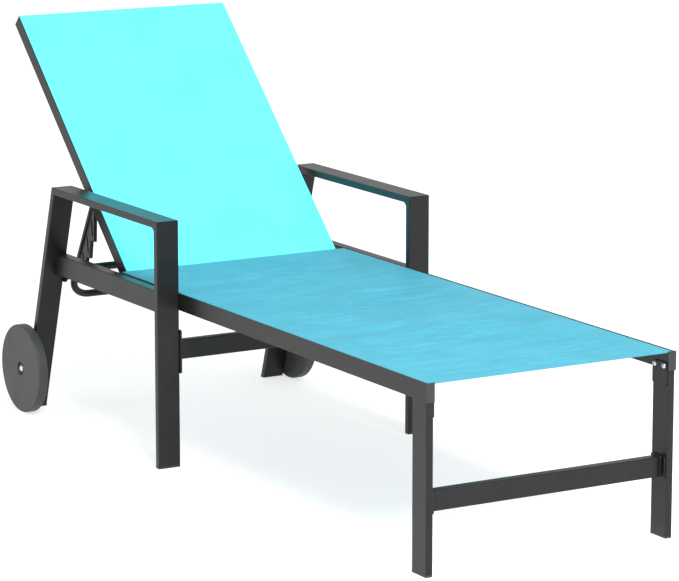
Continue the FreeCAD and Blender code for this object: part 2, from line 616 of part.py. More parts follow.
# ---------------------------------------------------------------- wheels
AXLE_END = "(wheel_thick + wheel_gap + tube_wall + nut_high + 3)"
axle_bolts, axle_nuts, wheel_spacers = [], [], []
for side_name, side in SIDES:
    # a plain disc with a rounded rim and a recess for the bolt head; Y = 0 is the outer face
    disc = turned(f"wheel_{side_name}_blank", [
        ("bush_radius + fit_gap", "wheel_thick"), ("bush_radius + fit_gap", "wheel_dish"),
        ("wheel_recess - 1", "wheel_dish"), ("wheel_recess", "0.8"), ("wheel_recess + 0.8", "0"),
        ("wheel_radius - 3", "0"), ("wheel_radius - 1.5", "0.4"), ("wheel_radius - 0.4", "1.5"),
        ("wheel_radius", "3"), ("wheel_radius", "wheel_thick - 3"),
        ("wheel_radius - 0.4", "wheel_thick - 1.5"),
        ("wheel_radius - 1.5", "wheel_thick - 0.4"), ("wheel_radius - 3", "wheel_thick")])
    y = "wheel_inner + wheel_thick" if side > 0 else "-(wheel_inner + wheel_thick)"
    spin = "180" if side > 0 else None
    node(f"wheel_{side_name}", place(disc, ("wheel_x", y, "wheel_radius"), spin, V(0, 0, 1)))
    bush = turned(f"bush_{side_name}_blank", box_outline("axle_radius + fit_gap", "bush_radius", "wheel_dish",
                                                        "wheel_thick"))
    node(f"wheel_bush_{side_name}", place(bush, ("wheel_x", y, "wheel_radius"), spin, V(0, 0, 1)))
    bolt = turned(f"axle_bolt_{side_name}", [
        ("0", AXLE_END), ("axle_radius - 1", AXLE_END), ("axle_radius", f"{AXLE_END} - 1"),
        ("axle_radius", "wheel_dish - 0.4"),
        ("axle_head", "wheel_dish - 0.4"), ("axle_head", "wheel_dish - 1.4"), ("axle_head * 0.93", "2.1"),
        ("axle_head * 0.78", "1.0"), ("axle_head * 0.5", "0.1"), ("0", "-0.4")])
    axle_bolts.append(place(bolt, ("wheel_x", y, "wheel_radius"), spin, V(0, 0, 1)))
    spacer = turned(f"wheel_spacer_{side_name}", box_outline("axle_radius + fit_gap", "bush_radius + 1",
                                                             "wheel_thick + 0.3", "wheel_thick + wheel_gap"))
    wheel_spacers.append(place(spacer, ("wheel_x", y, "wheel_radius"), spin, V(0, 0, 1)))
    # a nut welded inside the leg's tube
    ring = rod(f"nut_bore_{side_name}", "axle_radius", "nut_high + 2", (0, 0, "-1"), V(0, 0, 1), None)
    hexagon = doc.addObject("Part::Prism", f"nut_hex_{side_name}")
    hexagon.Polygon = 6
    hexagon.setExpression("Circumradius", bound("nut_wide / 2"))
    hexagon.setExpression("Height", bound("nut_high"))
    nut = less(f"axle_nut_{side_name}", hexagon, [ring])
    nut_y = "arm_half - tube_wall" if side > 0 else "-(arm_half - tube_wall)"
    axle_nuts.append(place(nut, ("wheel_x", nut_y, "wheel_radius"), "90" if side > 0 else "-90", V(1, 0, 0)))
group("axle_bolts", axle_bolts)
group("axle_nuts", axle_nuts)
group("wheel_spacers", wheel_spacers)

# ---------------------------------------------------------------- screws of the fixed frame
foot_screws, rail_screws, plate_screws = [], [], []
for side_name, side in SIDES:
    for i, back in enumerate(FOOT_BOLTS):
        foot_screws.append(screw(f"foot_screw_{side_name}{i}", "bolt_head", "bolt_head_high", "bolt_radius",
                                 "bracket_thick + bolt_reach - 4", side, "rail_inner - bracket_thick",
                                 f"foot_x - ({back})",
                                 "foot_bolt_z"))
    for i, back in enumerate(RAIL_BOLTS):
        rail_screws.append(screw(f"rail_screw_{side_name}{i}", "bolt_head", "bolt_head_high", "bolt_radius",
                                 "seat_rail_wide + bolt_reach", side, "rail_inner", f"foot_x - ({back})",
                                 "rail_bolt_z"))
    for i, z in enumerate(PLATE_BOLTS):
        plate_screws.append(screw(f"plate_screw_{side_name}{i}", "bolt_head", "bolt_head_high", "bolt_radius",
                                  "end_plate + bolt_reach", side, "arm_inner - end_plate", ARM_MID, z))
group("foot_bracket_screws", foot_screws)
group("arm_rail_screws", rail_screws)
group("mid_plate_screws", plate_screws)

# ---------------------------------------------------------------- back frame
# Modelled lying flat with the hinge axis at the origin and the back along -X, then turned up.

def on_back(item, y="0"):
    """Turn a piece up with the back."""
    return place(item, ("hinge_x", y, "hinge_z"), "recline")


back_inner = "(back_half - back_wide)"
half_deep = "(back_deep / 2)"
hinge_pins, hinge_spacers, prop_pins, prop_washers = [], [], [], []
for side_name, side in SIDES:
    y_low, y_high = span(side, back_inner, "back_half")
    outer_y, inner_y = (y_high, y_low) if side > 0 else (y_low, y_high)
    skin = prism(f"back_rail_{side_name}_skin", "XY",
                 [(half_deep, inner_y), (half_deep, outer_y), ("-back_length", outer_y),
                  ("-back_length + back_wide", inner_y)], "back_deep")
    place(skin, (0, 0, f"-{half_deep}"))
    end_edges = [name for name in edges_along(skin.Shape, V(0, 1, 0))
                 if abs(skin.Shape.getElement(name).CenterOfMass.x - skin.Shape.BoundBox.XMax) < 0.01]
    straight = skin.Tip
    nose = skin.newObject("PartDesign::Fillet", f"back_rail_{side_name}_nose")
    nose.Base = (straight, end_edges)
    nose.setExpression("Radius", bound(f"{half_deep} - 0.3"))
    skin.Tip = nose
    doc.recompute()
    mitre_end = SIZES["back_wide"] - SIZES["back_length"]
    side_edges = [f"Edge{i}" for i, edge in enumerate(skin.Shape.Edges, start=1)
                  if edge.BoundBox.YLength < 0.01 and edge.BoundBox.XMax > mitre_end + 1.0]
    rounds = skin.newObject("PartDesign::Fillet", f"back_rail_{side_name}_rounds")
    rounds.Base = (nose, side_edges)
    rounds.setExpression("Radius", bound("edge_round"))
    skin.Tip = rounds
    doc.recompute()
    hollow_low, hollow_high = span(side, f"{back_inner} + tube_wall", "back_half - tube_wall")
    h_outer, h_inner = (hollow_high, hollow_low) if side > 0 else (hollow_low, hollow_high)
    core = prism(f"back_rail_{side_name}_core", "XY",
                 [("0", h_inner), ("0", h_outer), ("-back_length + tube_wall", h_outer),
                  ("-back_length + back_wide - tube_wall", h_inner)], "back_deep - 2 * tube_wall")
    place(core, (0, 0, f"-{half_deep} + tube_wall"))
    holes = [cross_rod(f"hinge_hole_{side_name}", "pin_radius + pin_clear", side, f"{back_inner} - 1",
                       "back_half + 1", "0", "0"),
             cross_rod(f"prop_hole_{side_name}", "pin_radius + bolt_clear", side, f"{back_inner} - 1",
                       f"{back_inner} + tube_wall + 1", "-prop_pivot", "0")]
    rail = less(f"back_rail_{side_name}_part", skin, [core] + holes)
    node(f"back_rail_{side_name}", on_back(rail))

    # hinge: a pin through the back rail and a nylon spacer into the arm frame's side rail
    hinge_pins.append(screw(f"hinge_pin_{side_name}", "pin_head", "pin_head_high", "pin_radius",
                            "arm_inner - back_half + back_wide + 1 + pin_reach", side, f"{back_inner} - 1",
                            "hinge_x",
                            "hinge_z"))
    spacer = turned(f"hinge_spacer_{side_name}", box_outline("pin_radius + fit_gap", "pin_radius * 2 + 1",
                                                             "0.4", "arm_inner - back_half"))
    y = "back_half" if side > 0 else "-back_half"
    hinge_spacers.append(place(spacer, ("hinge_x", y, "hinge_z"), "180" if side < 0 else None, V(0, 0, 1)))

    # prop pivot: a pin from the inside, through the prop's leg, into the back rail's inner wall
    pin = screw(f"prop_pin_{side_name}", "pin_head", "pin_head_high", "pin_radius",
                f"{back_inner} - prop_half + prop_radius + pin_reach - 4", side,
                "prop_half - prop_radius - play", "prop_x",
                "prop_z")
    prop_pins.append(pin)
    washer = turned(f"prop_washer_{side_name}", box_outline("pin_radius + fit_gap", "pin_radius * 2 + 1", "0",
                                                            f"{back_inner} - prop_half - prop_radius - play"))
    y = "prop_half + prop_radius + play" if side > 0 else f"-({back_inner})"
    prop_washers.append(place(washer, ("prop_x", y, "prop_z")))
group("hinge_pins", hinge_pins)
group("hinge_spacers", hinge_spacers)
group("prop_pins", prop_pins)
group("prop_washers", prop_washers)

top_skin = prism("back_top_skin", "XY",
                 [("-back_length", "-back_half"), ("-back_length", "back_half"),
                  ("-back_length + back_wide", back_inner), ("-back_length + back_wide", f"-{back_inner}")],
                 "back_deep", "across")
place(top_skin, (0, 0, f"-{half_deep}"))
top_core = prism("back_top_core", "XY",
                 [("-back_length + tube_wall", "-(back_half - 2 * tube_wall)"),
                  ("-back_length + tube_wall", "back_half - 2 * tube_wall"),
                  ("-back_length + back_wide - tube_wall", f"{back_inner}"),
                  ("-back_length + back_wide - tube_wall", f"-{back_inner}")], "back_deep - 2 * tube_wall")
place(top_core, (0, 0, f"-{half_deep} + tube_wall"))
node("back_top_bar", on_back(less("back_top_bar_part", top_skin, [top_core])))

low_x = "(-back_bar_place - back_bar_size)"
bar = prism("back_bottom_tube", "XZ",
            box_outline(low_x, "-back_bar_place", f"-{half_deep} + 2", f"-{half_deep} + 2 + back_bar_size"),
            f"2 * {back_inner}", "along", "edge_round",
            [box_outline(f"{low_x} + tube_wall", "-back_bar_place - tube_wall",
                         f"-{half_deep} + 2 + tube_wall",
                         f"-{half_deep} + 2 + back_bar_size - tube_wall")])
node("back_bottom_bar", on_back(bar, back_inner))

# ---------------------------------------------------------------- prop
# Modelled hanging straight down from its pivot axis at the origin, notches toward +X, then tilted.
def on_prop(item, y="0"):
    """Tilt a piece with the prop."""
    return place(item, ("prop_x", y, "prop_z"), "prop_tilt")


def bail(name, radius, head):
    """The bent tube as two legs, a foot and two quarter bends, all of one radius."""
    pieces = []
    for side_name, side in SIDES:
        y = "prop_half" if side > 0 else "-prop_half"
        leg = rod(f"{name}_leg_{side_name}", radius, f"prop_length - prop_bend + {head}",
                  (0, y, "-(prop_length - prop_bend)"), V(0, 0, 1), None)
        bend = doc.addObject("Part::Torus", f"{name}_bend_{side_name}")
        bend.setExpression("Radius1", bound("prop_bend"))
        bend.setExpression("Radius2", bound(radius))
        bend.Angle3 = 90.0
        # the quarter torus is turned into the YZ plane, between the leg and the foot
        turn = FreeCAD.Rotation(V(0, 0, -1), V(0, side, 0), V(side, 0, 0), "XYZ")
        bend.Placement = FreeCAD.Placement(V(), turn)
        centre_y = "prop_half - prop_bend" if side > 0 else "-(prop_half - prop_bend)"
        bend.setExpression(".Placement.Base.y", bound(centre_y))
        bend.setExpression(".Placement.Base.z", bound("-(prop_length - prop_bend)"))
        pieces += [leg, bend]
    foot = rod(f"{name}_foot", radius, "2 * (prop_half - prop_bend)",
               (0, "-(prop_half - prop_bend)", "-prop_length"), ALONG_Y, "-90")
    return joined(name, pieces + [foot])


bail_skin = bail("bail_skin", "prop_radius", "prop_head")
bail_core = bail("bail_core", "prop_radius - prop_wall", "prop_head - prop_wall")
pivots = [cross_rod(f"bail_hole_{side_name}", "pin_radius + pin_clear", side, "prop_half - prop_radius - 1",
                    "prop_half + prop_radius + 1", "0", "0") for side_name, side in SIDES]
node("prop_bail", on_prop(less("prop_bail_part", bail_skin, [bail_core] + pivots)))

for side_name, side in SIDES:
    y_low, y_high = span(side, "prop_half - rack_thick / 2", "prop_half + rack_thick / 2")
    low = "rack_low_notch"
    high = "(rack_low_notch - rack_pitch)"
    corners = [("prop_radius / 2", "-rack_start"), ("prop_radius + rack_corner", "-rack_start"),
               ("rack_tip", f"-({high} - rack_undercut)"), ("rack_inner", f"-{high}"),
               ("rack_tip", f"-({low} - rack_undercut)"), ("rack_inner", f"-{low}"),
               ("rack_inner + rack_foot_in", f"-({low} + rack_foot_down)"),
               ("prop_radius + rack_corner", f"-({low} + rack_pitch)"),
               ("prop_radius / 2", f"-({low} + rack_pitch)")]
    blank = prism(f"rack_{side_name}_blank", "XZ", corners, "rack_thick")
    place(blank, (0, y_high, 0))
    leg = rod(f"rack_seat_{side_name}", "prop_radius", "prop_length",
              (0, "prop_half" if side > 0 else "-prop_half", "-prop_length"), V(0, 0, 1), None)
    cuts = [leg]
    # three slanted pressed reliefs on the outer side, one behind each tooth
    face_y = "prop_half + rack_thick / 2" if side > 0 else "-(prop_half + rack_thick / 2 - rack_relief)"
    reliefs = ((f"({high} - rack_relief_up)", "1"), (f"({low} - rack_relief_up)", "1"), (f"({low} + 2)", "0.6"))
    for i, (start, share) in enumerate(reliefs):
        x_near, x_far = "(rack_relief_in - rack_relief_wide / 2)", f"(rack_relief_in + rack_relief_out * {share})"
        end = f"-({start} + rack_relief_run * {share})"
        relief = prism(f"relief_{side_name}{i}", "XZ",
                       [(x_near, f"-{start}"), (f"{x_near} + rack_relief_wide", f"-{start}"),
                        (f"{x_far} + rack_relief_wide / 2", end), (f"{x_far} - rack_relief_wide / 2", end)],
                       "rack_relief")
        cuts.append(place(relief, (0, face_y, 0)))
    node(f"prop_rack_{side_name}", on_prop(less(f"prop_rack_{side_name}_part", blank, cuts)))

# ---------------------------------------------------------------- slings
half = "(arm_inner - lip_wide - 0.5)"
seat = block("seat_sling", ("seat_rail_rear - 5", f"2 * {half}", "sling_thick"),
             ("foot_x - seat_rail_rear + 4", f"-{half}", "ledge + play"))
node("seat_sling", seat)
back = prism("back_sling_sheet", "XZ",
             box_outline("-back_length + edge_round", "back_sling_drop", f"{half_deep} + play",
                         f"{half_deep} + play + sling_thick"), "2 * (back_half - edge_round)")
node("back_sling", on_back(back, "back_half - edge_round"))

# ---------------------------------------------------------------- check and write
doc.recompute()
bad = [f"{item.Label}: {item.State}" for item in doc.Objects if {"Invalid", "Error"} & set(item.State)]
for item in NODES:
    if item.Shape.isNull() or not item.Shape.isValid() or not item.Shape.Solids:
        bad.append(f"{item.Label}: shape is empty or not valid")
if bad:
    raise RuntimeError("\n".join(bad))
os.makedirs("parts", exist_ok=True)
for item in NODES:
    item.Shape.exportStep(os.path.join("parts", item.Label + ".step"))
whole = Part.makeCompound([item.Shape for item in NODES]).BoundBox
print(len(NODES), "nodes; X", round(whole.XMin, 2), round(whole.XMax, 2), "Y", round(whole.YMin, 2),
      round(whole.YMax, 2), "Z", round(whole.ZMin, 2), round(whole.ZMax, 2))
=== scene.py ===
import json
import math
import bpy
import numpy as np
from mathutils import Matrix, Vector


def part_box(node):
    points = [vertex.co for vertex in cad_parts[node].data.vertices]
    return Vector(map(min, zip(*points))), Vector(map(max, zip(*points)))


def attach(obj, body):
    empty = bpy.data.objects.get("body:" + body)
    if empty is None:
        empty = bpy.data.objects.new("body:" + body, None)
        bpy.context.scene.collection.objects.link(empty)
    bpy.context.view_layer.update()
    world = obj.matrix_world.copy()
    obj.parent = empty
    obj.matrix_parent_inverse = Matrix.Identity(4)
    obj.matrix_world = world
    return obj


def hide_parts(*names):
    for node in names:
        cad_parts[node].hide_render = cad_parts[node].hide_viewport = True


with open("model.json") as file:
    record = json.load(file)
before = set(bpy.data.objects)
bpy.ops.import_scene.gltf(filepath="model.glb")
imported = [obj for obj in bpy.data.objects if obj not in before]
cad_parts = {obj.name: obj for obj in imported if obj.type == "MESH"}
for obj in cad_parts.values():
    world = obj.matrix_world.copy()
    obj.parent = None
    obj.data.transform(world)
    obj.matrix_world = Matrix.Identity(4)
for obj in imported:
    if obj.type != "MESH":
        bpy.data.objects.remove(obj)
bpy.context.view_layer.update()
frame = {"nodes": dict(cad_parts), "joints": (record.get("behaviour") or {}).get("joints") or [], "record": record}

# Welded tube frame.  Mild-steel flat tube, 50 by 15 mm in the arm frames and foot legs, cut, mitred,
# welded and ground flush, then powder-coated charcoal and baked, which leaves a fine matt grain.
slot_of = {part["node"]: part["material_slot"] for part in frame["record"]["subparts"]}


def linear(colour):
    """sRGB hex text to the linear values that a shader socket takes, by the sRGB standard's curve."""
    parts = [int(colour[i:i + 2], 16) / 255 for i in (1, 3, 5)]
    return (*[c / 12.92 if c <= 0.04045 else ((c + 0.055) / 1.055) ** 2.4 for c in parts], 1.0)


def add(tree, kind, values=None, links=None, **settings):
    """Add a node with its settings, its socket values and the sockets that feed it."""
    made = tree.nodes.new(kind)
    for setting, value in settings.items():
        setattr(made, setting, value)
    for socket, value in (values or {}).items():
        made.inputs[socket].default_value = value
    for socket, source in (links or {}).items():
        tree.links.new(source, made.inputs[socket])
    return made


def surface(name, **sockets):
    """A material with one Principled shader; sockets are given with underscores for spaces."""
    made = bpy.data.materials.new(name)
    made.use_nodes = True
    shader = made.node_tree.nodes["Principled BSDF"]
    for socket, value in sockets.items():
        shader.inputs[socket.replace("_", " ")].default_value = value
    return made, made.node_tree, shader


def coat(slot, made):
    """Give a material to every CAD node of one slot."""
    for node, kept in frame["nodes"].items():
        if slot_of[node] == slot:
            for place in kept.material_slots:
                place.material = made


# Powder coat: baked polyester resin, IOR 1.5, matt.  A noise's scale is its repeats in a metre.  The
# grain is about 0.5 mm and is drawn at 2 mm (500), so that it shows.  The film's thickness changes
# slowly, about every 70 mm (14).  The shade is 65 % film and 35 % grain, and the gloss is all film.
powder, tree, shader = surface("charcoal_powder_coat", IOR=1.5, Specular_IOR_Level=0.3)
spot = add(tree, "ShaderNodeTexCoord").outputs["Object"]
grain = add(tree, "ShaderNodeTexNoise", {"Scale": 500.0, "Detail": 3.0, "Roughness": 0.6}, {"Vector": spot})
film = add(tree, "ShaderNodeTexNoise", {"Scale": 14.0, "Detail": 4.0, "Roughness": 0.55}, {"Vector": spot})
speck = add(tree, "ShaderNodeMath", {1: 0.35}, {0: grain.outputs["Fac"]}, operation="MULTIPLY")
shade = add(tree, "ShaderNodeMath", {1: 0.65}, {0: film.outputs["Fac"], 2: speck.outputs[0]},
            operation="MULTIPLY_ADD")
tone = add(tree, "ShaderNodeValToRGB", None, {"Fac": shade.outputs[0]})
for stop, place, colour in zip(tone.color_ramp.elements, (0.32, 0.68), ("#0f0f10", "#19191a")):
    stop.position = place
    stop.color = linear(colour)
tree.links.new(tone.outputs["Color"], shader.inputs["Base Color"])
gloss = add(tree, "ShaderNodeMapRange", {"To Min": 0.30, "To Max": 0.42}, {"Value": film.outputs["Fac"]})
tree.links.new(gloss.outputs["Result"], shader.inputs["Roughness"])
relief = add(tree, "ShaderNodeBump", {"Strength": 0.22, "Distance": 0.0004}, {"Height": grain.outputs["Fac"]})
tree.links.new(relief.outputs["Normal"], shader.inputs["Normal"])
coat("frame_coat", powder)

# Welds.  A small MIG bead runs round each end of the two crossbars, at their end plates, and round
# each end of the catch bar, at its gusset plates, and is painted over with the frame.
BEAD_RADIUS = 0.0016
BEAD_PITCH = 0.0026
BEAD_STEP = 0.0008
CROSSBAR_CORNER = 0.003


def sheet_mesh(name, points, flat=None, loop=(False, False)):
    """A smooth mesh from a grid of points, rows by columns, or from many such grids one after the
    other; a looped way is joined end to end.  flat is the place of each point on the cloth laid flat."""
    at = np.arange(points[..., 0].size).reshape(points.shape[:-1])
    if loop[0]:
        at = np.concatenate([at, at[..., :1, :]], axis=-2)
    if loop[1]:
        at = np.concatenate([at, at[..., :1]], axis=-1)
    corners = [at[..., :-1, :-1], at[..., :-1, 1:], at[..., 1:, 1:], at[..., 1:, :-1]]
    faces = np.stack(corners, axis=-1).reshape(-1, 4)
    mesh = bpy.data.meshes.new(name)
    mesh.from_pydata(points.reshape(-1, 3), [], faces)
    mesh.polygons.foreach_set("use_smooth", np.ones(len(faces), bool))
    if flat is not None:
        layer = mesh.uv_layers.new(name="cloth")
        layer.data.foreach_set("uv", flat.reshape(-1, 2)[faces.reshape(-1)].reshape(-1))
    made = bpy.data.objects.new(name, mesh)
    bpy.context.scene.collection.objects.link(made)
    return made


def outfit(piece, body, finish):
    """Dress a piece and hang it on its CAD body."""
    piece.data.materials.append(finish)
    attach(piece, body)
    return piece


def evenly(path, step):
    """Points at even steps along a path: its length is summed and each coordinate read off it."""
    run = np.concatenate([[0.0], np.cumsum(np.linalg.norm(np.diff(path, axis=0), axis=1))])
    marks = np.linspace(0.0, run[-1], max(4, int(run[-1] / step)) + 1)
    return np.stack([np.interp(marks, run, path[:, i]) for i in range(3)], axis=1), marks


def bead(name, path):
    """A weld bead round a closed path that lies in the plane of one Y: a circle carried along the
    path, its centre on it, its radius swelling and shrinking by a sixth with every bead pitch."""
    centre, marks = evenly(path, BEAD_STEP)
    centre, marks = centre[:-1], marks[:-1]
    ahead = np.roll(centre, -1, axis=0) - np.roll(centre, 1, axis=0)
    ahead /= np.linalg.norm(ahead, axis=1, keepdims=True)
    side = np.cross(ahead, (0.0, 1.0, 0.0))
    out = np.cross(side, ahead)
    swell = BEAD_RADIUS * (1.0 + 0.16 * np.sin(2 * np.pi * marks / BEAD_PITCH))
    turn = np.linspace(0.0, 2 * np.pi, 8, endpoint=False)
    ring = side[:, None] * np.cos(turn)[:, None] + out[:, None] * np.sin(turn)[:, None]
    made = sheet_mesh(name, centre[:, None] + swell[:, None, None] * ring, loop=(True, True))
    return outfit(made, "frame", powder)


def around(low, high, y, corner):
    """A rounded rectangle in the plane of one Y: quarter circles at the four corners of a box.  The
    turn starts a hair past zero, so that no point falls between two corners."""
    turn = np.linspace(0.0, 2 * np.pi, 41)[:-1] + 1e-6
    x = np.where(np.cos(turn) > 0, high.x - corner, low.x + corner) + corner * np.cos(turn)
    z = np.where(np.sin(turn) > 0, high.z - corner, low.z + corner) + corner * np.sin(turn)
    path = np.stack([x, np.full_like(x, y), z], axis=1)
    return np.vstack([path, path[:1]])


for bar in ("foot_crossbar", "mid_crossbar", "catch_bar"):
    low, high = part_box(bar)
    corner = (high.x - low.x) / 2 if bar == "catch_bar" else CROSSBAR_CORNER
    for side, y in (("right", low.y), ("left", high.y)):
        bead(f"weld_{bar}_{side}", around(low, high, y, corner))

# Seat sling.  PVC-coated polyester mesh, woven from 1 mm yarns.  Each long edge slides into its
# rail's groove over a spline, and each end is folded into a stitched hem.  It is stretched tight, yet
# keeps soft cross ripples.  The weave is drawn at 2.2 mm, so that it shows.
THREAD = 0.0022
CLOTH = 0.0011
HEM_THICK = 0.0018
SEAT_HEM_WIDE = 0.0150
SEAT_HEM_IN = 0.0072  # the hem's middle, in from the sheet's end
SEAT_SEAM_IN = 0.0046  # the stitches, in from the hem's middle


def sling_cloth(name, light, dark):
    """Woven coated mesh.  Cell by cell in a chequer, the warp or the weft lies on top, and each
    thread's height is the cosine across it.  The same height also darkens the colour, so the hollows
    between threads carry painted shade.  The yarn's slubs, about 4 mm apart (260), and the batch's
    cloudiness, about 110 mm (9), shift the tone; it is half cloudiness, with 45 % of the threads' height (the
    painted shade) and 35 % of the slubs added."""
    made, tree, shader = surface(name, Roughness=0.62, IOR=1.46, Specular_IOR_Level=0.3)
    lie = add(tree, "ShaderNodeUVMap", uv_map="cloth")
    split = add(tree, "ShaderNodeSeparateXYZ", None, {"Vector": lie.outputs["UV"]})
    waves = []
    for axis in ("X", "Y"):
        turn = add(tree, "ShaderNodeMath", {1: math.pi / THREAD}, {0: split.outputs[axis]},
                   operation="MULTIPLY")
        waves.append(add(tree, "ShaderNodeMath", None, {0: turn.outputs[0]}, operation="COSINE").outputs[0])
    crowns = [add(tree, "ShaderNodeMath", None, {0: wave}, operation="ABSOLUTE").outputs[0] for wave in waves]
    chequer = add(tree, "ShaderNodeMath", None, {0: waves[0], 1: waves[1]}, operation="MULTIPLY")
    over = add(tree, "ShaderNodeMapRange", {"From Min": -0.2, "From Max": 0.2}, {"Value": chequer.outputs[0]})
    height = add(tree, "ShaderNodeMix", None,
                 {0: over.outputs["Result"], 2: crowns[1], 3: crowns[0]}, data_type="FLOAT")
    spot = add(tree, "ShaderNodeTexCoord").outputs["Object"]
    slub = add(tree, "ShaderNodeTexNoise", {"Scale": 260.0, "Detail": 2.0}, {"Vector": spot})
    batch = add(tree, "ShaderNodeTexNoise", {"Scale": 9.0, "Detail": 5.0, "Roughness": 0.6}, {"Vector": spot})
    uneven = add(tree, "ShaderNodeMath", {1: 0.35}, {0: slub.outputs["Fac"]}, operation="MULTIPLY")
    wash = add(tree, "ShaderNodeMath", {1: 0.5}, {0: batch.outputs["Fac"], 2: uneven.outputs[0]},
               operation="MULTIPLY_ADD")
    # Painted shade: the threads' height darkens the hollows between threads, added to the random wash.
    hollow_shade_and_wash = add(tree, "ShaderNodeMath", {1: 0.45}, {0: height.outputs[0], 2: wash.outputs[0]},
                operation="MULTIPLY_ADD")
    tone = add(tree, "ShaderNodeValToRGB", None, {"Fac": hollow_shade_and_wash.outputs[0]})
    for stop, place, colour in zip(tone.color_ramp.elements, (0.28, 0.95), (dark, light)):
        stop.position = place
        stop.color = linear(colour)
    tree.links.new(tone.outputs["Color"], shader.inputs["Base Color"])
    rise = add(tree, "ShaderNodeBump", {"Strength": 0.35, "Distance": 0.0005}, {"Height": height.outputs[0]})
    tree.links.new(rise.outputs["Normal"], shader.inputs["Normal"])
    return made


def cover(name, along, across, lift, place, base, thick):
    """A stretched sheet: the rises of two paths, one along it and one across it, are added point by
    point to a base height and a lift, and place turns (along, across, height) into the frame's
    metres.  The lengths summed along each path are its size laid flat."""
    a, b = along[:, 0][:, None], across[:, 0][None, :]
    h = along[:, 1][:, None] + across[:, 1][None, :] + lift(a, b)
    grown = [np.concatenate([[0.0], np.cumsum(np.hypot(*np.diff(path, axis=0).T))])
             for path in (along, across)]
    flat = np.stack(np.broadcast_arrays(grown[1][None, :], grown[0][:, None]), axis=-1)
    made = sheet_mesh(name, place(*np.broadcast_arrays(a, b, base + h)), flat)
    skin = made.modifiers.new("cloth", "SOLIDIFY")
    skin.thickness = thick
    skin.offset = -1.0
    return made, (grown[1][-1], grown[0][-1])


def tucked(low, high, step, bend=0.0, drop=0.0, ends=(True, True)):
    """A path that runs flat from low to high and, at each chosen end, turns down on a quarter
    circle of radius bend and drops straight: (run, rise) pairs."""
    turn = np.linspace(0.0, np.pi / 2, 5)[1:]
    flat = np.arange(low + bend * ends[0], high - bend * ends[1], step)
    flat = np.append(flat, high - bend * ends[1])
    path = [np.stack([flat, 0 * flat], axis=1)]
    corner = np.stack([bend * np.sin(turn), bend * np.cos(turn) - bend], axis=1)
    foot = np.array([[bend, -bend - drop]])
    if ends[1]:
        path.append(np.vstack([corner, foot]) + [high - bend, 0.0])
    if ends[0]:
        path.insert(0, (np.vstack([corner, foot]) * [-1, 1] + [low + bend, 0.0])[::-1])
    return np.vstack(path)


def band(name, middle, wide, thick, half, place):
    """A folded hem: a flattened round section (a superellipse) carried across the sheet, closed by
    rings that shrink to a point 0.8 mm past each end."""
    turn = np.linspace(0.0, 2 * np.pi, 20, endpoint=False)
    round_run, round_rise = (np.sign(wave) * np.abs(wave) ** 0.55 for wave in (np.cos(turn), np.sin(turn)))
    y = np.linspace(-half, half, 100)
    full = np.concatenate([[0.001, 0.7], np.ones(len(y)), [0.7, 0.001]])[:, None]
    y = np.concatenate([[-half - 0.0008, -half - 0.0006], y, [half + 0.0006, half + 0.0008]])[:, None]
    run = middle[0] + full * wide / 2 * round_run
    rise = middle[1] + full * thick / 2 * round_rise
    flat = np.stack(np.broadcast_arrays(y, middle[0] + turn / np.pi * wide), axis=-1)
    made = sheet_mesh(name, place(*np.broadcast_arrays(run, y, rise)), flat, loop=(False, True))
    made.data.flip_normals()
    return made


def stitching(name, run, rise, half, place, pitch=0.0042, long=0.0030, fat=0.00042, dip=0.0005):
    """A row of lock stitches: each is a short rod with round ends that dips at its ends, repeated
    at an even pitch across the hem."""
    turn = np.linspace(0.0, 2 * np.pi, 6, endpoint=False)
    s = np.linspace(-1.0, 1.0, 7)[:, None]
    width = fat * np.sqrt(np.clip(1 - s ** 4, 0.001, 1))
    starts = np.arange(-half + pitch, half - pitch, pitch)[:, None, None]
    rods = (run + width * np.cos(turn), starts + long / 2 * s, rise + width * np.sin(turn) - dip * s ** 2)
    return sheet_mesh(name, place(*np.broadcast_arrays(*rods)), loop=(False, True))


def on_seat(a, b, h):
    """A place on the seat: run along X, across Y, height Z."""
    return np.stack([a, b, h], axis=-1)


# Height, length, lean across the seat, starting angle, and the distance over which each ripple
# swells and fades.
RIPPLES = (
    (0.0017, 0.052, 0.26, 0.4, 0.31),
    (0.0012, 0.034, -0.16, 2.1, 0.23),
    (0.0008, 0.025, 0.40, 4.4, 0.19),
    (0.0028, 0.095, 0.12, 1.2, 0.42),
    (0.0005, 0.020, -0.30, 3.3, 0.15),
)
SAG = 0.0018
FLAT_END = 0.06  # the ripples fade over this length at each end
seat_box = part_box("seat_sling")
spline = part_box("sling_spline_left")
groove = ((spline[0] + spline[1]) / 2).y
seat_edge = groove + 0.0011  # where the sheet turns down, just past the groove's middle


def seat_lift(x, y):
    """Ripples of the seat: waves that run nearly across, each a sine plus a ridge (one less the size
    of a half-angle sine) that swells and fades over a slower wave.  Their crests wander 12 mm over
    270 mm across the seat.  A shallow sag, a parabola across, is taken off; all die out at the ends
    on a smooth step, and the ripples at the held edges too."""
    held = 1.0 - np.abs(y / groove) ** 5
    waves = 0.0
    for size, length, lean, start, pulse in RIPPLES:
        bent = x + lean * y + 0.012 * np.sin(2 * np.pi * y / 0.27 + start)
        fade = 0.5 + 0.5 * np.sin(2 * np.pi * (x * 0.7 - lean * 3 * y) / pulse + start * 2)
        turn = 2 * np.pi * bent / length + start
        waves = waves + size * (0.5 * np.sin(turn) + 0.9 - 1.4 * np.abs(np.sin(turn / 2))) * fade
    ends = np.clip(np.minimum(x - seat_box[0].x, seat_box[1].x - x) / FLAT_END, 0.0, 1.0)
    ends = ends * ends * (3 - 2 * ends)
    sag = SAG * (1.0 - (y / groove) ** 2)
    return (held * waves - sag) * ends
